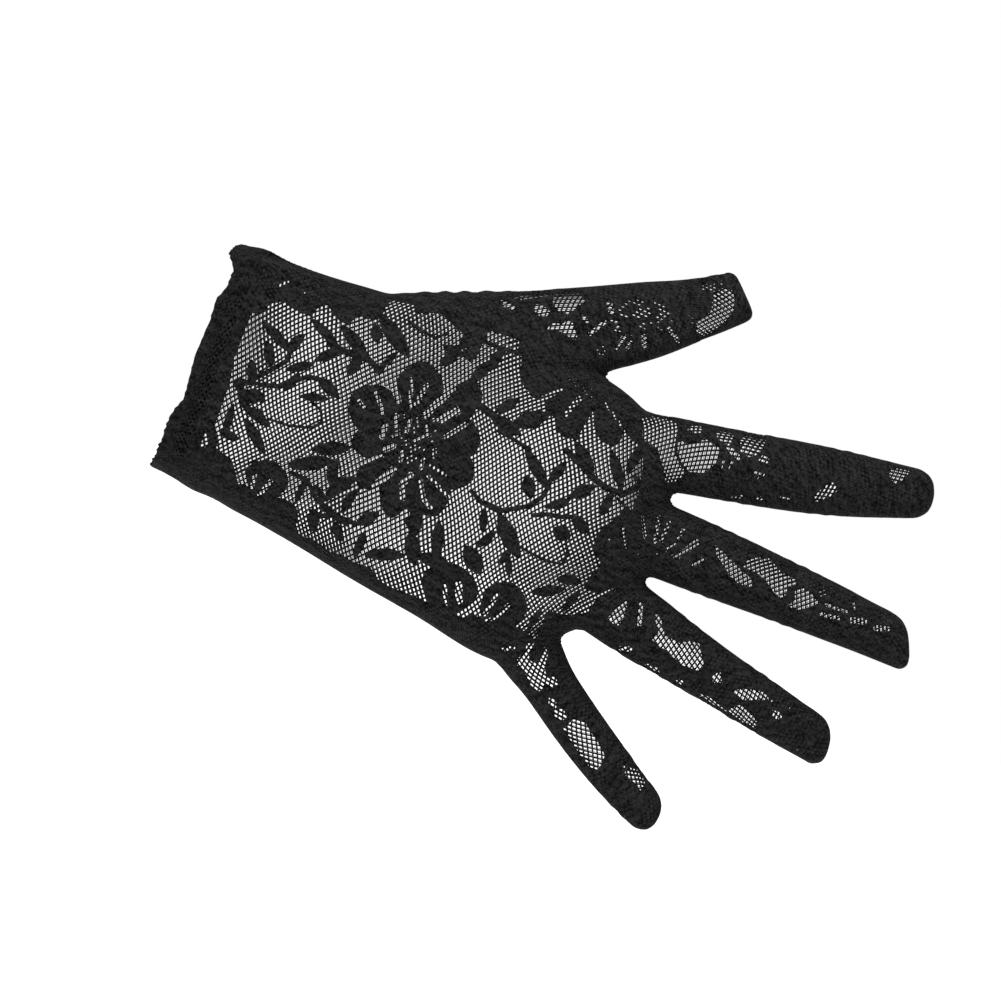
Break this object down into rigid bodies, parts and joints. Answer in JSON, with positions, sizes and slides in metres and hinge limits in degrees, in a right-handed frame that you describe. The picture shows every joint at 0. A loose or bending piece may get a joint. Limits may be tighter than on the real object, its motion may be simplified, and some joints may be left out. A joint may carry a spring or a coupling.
{
  "type": "evening glove",
  "caption": "Short evening glove of stretch floral lace for the right hand, with closed fingers and thumb, an overlocked outline seam and a turned wrist hem.",
  "frame": {"origin": "the middle of the wrist opening, where the arm goes in", "axes": "+X runs from the wrist opening to the fingertips, -Y is the back of the hand, +Z is the thumb edge"},
  "size_m": [0.2034, 0.0442, 0.1451],
  "materials": {
    "lace": "matt black stretch lace: fine net with dense ribbed flowers and leaves",
    "overlock_thread": "matt black overlock thread",
    "doubled_lace": "matt black lace, turned and two plies thick"
  },
  "bodies": {
    "root": {"back_panel": "lace", "palm_panel": "lace", "side_seam": "overlock_thread", "cuff_hem": "doubled_lace"}
  },
  "joints": []
}
